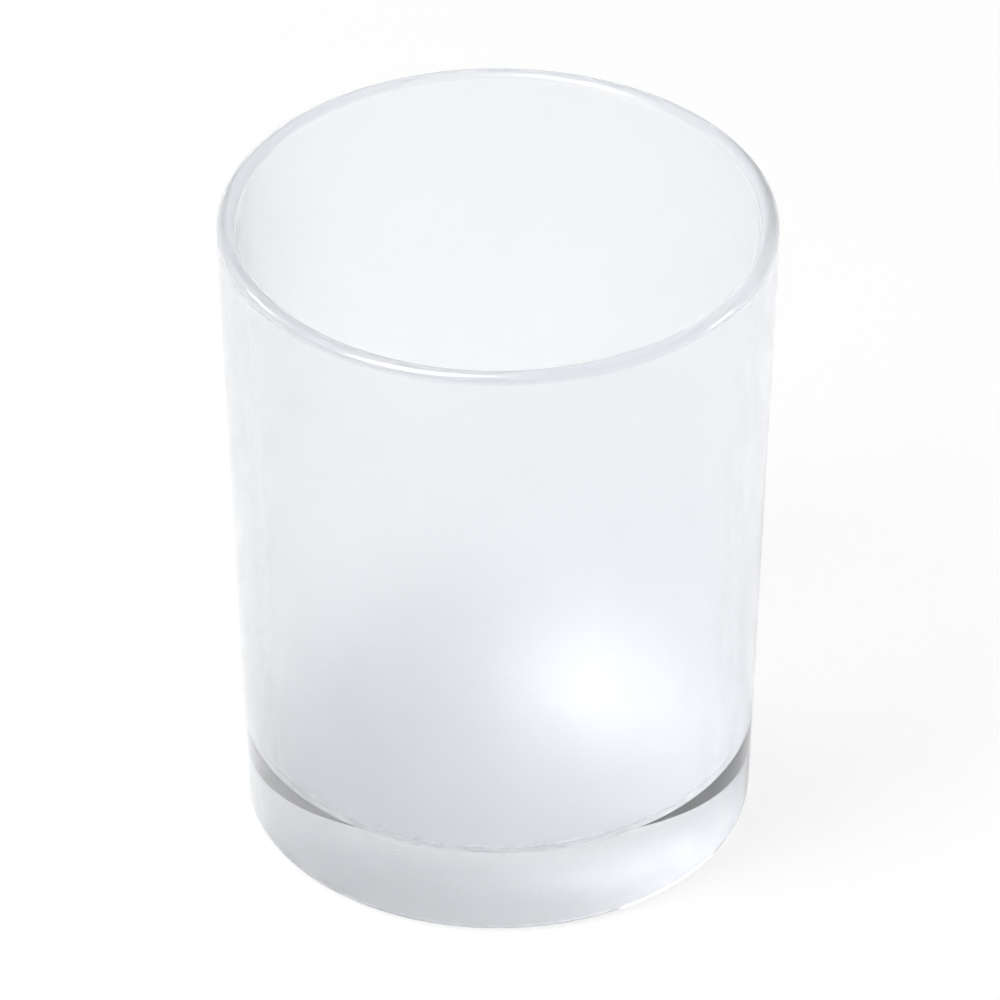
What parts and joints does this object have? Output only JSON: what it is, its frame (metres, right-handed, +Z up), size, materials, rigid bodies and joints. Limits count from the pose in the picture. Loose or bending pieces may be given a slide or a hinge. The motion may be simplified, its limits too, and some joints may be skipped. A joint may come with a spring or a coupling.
{
  "type": "bathroom tumbler",
  "caption": "Clear bathroom tumbler with a thick solid base, a melted round rim and a satin-coated inside, for tooth brushing and rinsing.",
  "frame": {"origin": "centre of the underside, in the plane of the ring that the tumbler stands on", "axes": "+Z up along the tumbler's axis, from the base to the mouth; X and Y are free, because the shape is round"},
  "size_m": [0.07, 0.07, 0.087],
  "materials": {
    "clear_glass": "polished",
    "satin_coat": "satin"
  },
  "bodies": {
    "root": {"glass_vessel": "clear_glass", "satin_coat": "satin_coat"}
  },
  "joints": []
}
